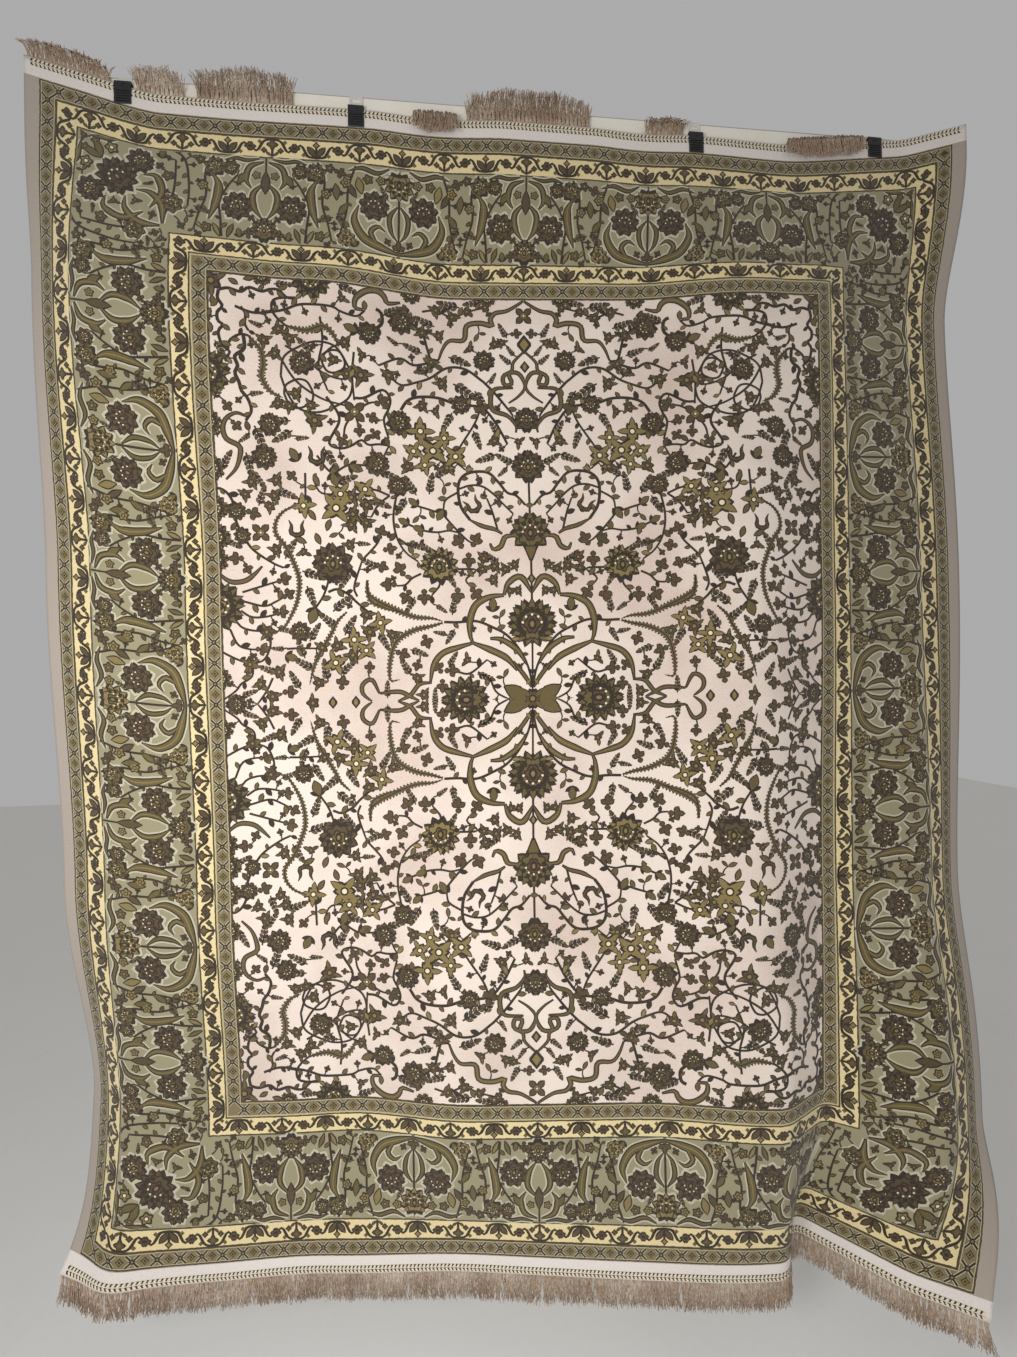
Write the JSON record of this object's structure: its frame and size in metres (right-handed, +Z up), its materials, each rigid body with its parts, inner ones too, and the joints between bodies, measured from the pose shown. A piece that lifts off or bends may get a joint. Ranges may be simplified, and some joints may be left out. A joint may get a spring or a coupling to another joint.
{
  "type": "oriental rug with hanging clips and display rail",
  "caption": "Fringed pile rug with medallion field and floral borders, draped from clips that hook over a flat display rail.",
  "frame": {"origin": "middle of the rail's left end face, seen from the pile side", "axes": "+X along the rail to the right, +Y away from the viewer towards the rail's back, +Z up"},
  "size_m": [2.4508, 0.4573, 3.2328],
  "materials": {
    "rail_paint": "satin cream paint",
    "clip_metal": "worn plated steel",
    "clip_plastic": "black textured plastic",
    "pile": "low cut wool pile",
    "fringe_yarn": "undyed twisted cotton"
  },
  "bodies": {
    "root": {"rail": "rail_paint", "clip_1_hook": "clip_metal", "clip_2_hook": "clip_metal", "clip_3_hook": "clip_metal", "clip_4_hook": "clip_metal", "clip_1_jaw": "clip_plastic", "clip_2_jaw": "clip_plastic", "clip_3_jaw": "clip_plastic", "clip_4_jaw": "clip_plastic", "rug": "pile", "fringe_bottom": "fringe_yarn", "fringe_top_flap": "fringe_yarn", "fringe_top_1": "fringe_yarn", "fringe_top_2": "fringe_yarn", "fringe_top_3": "fringe_yarn", "fringe_top_4": "fringe_yarn", "fringe_top_5": "fringe_yarn", "fringe_top_6": "fringe_yarn", "fringe_top_7": "fringe_yarn", "fringe_top_8": "fringe_yarn", "fringe_top_9": "fringe_yarn", "fringe_top_10": "fringe_yarn", "fringe_top_11": "fringe_yarn"}
  },
  "joints": []
}
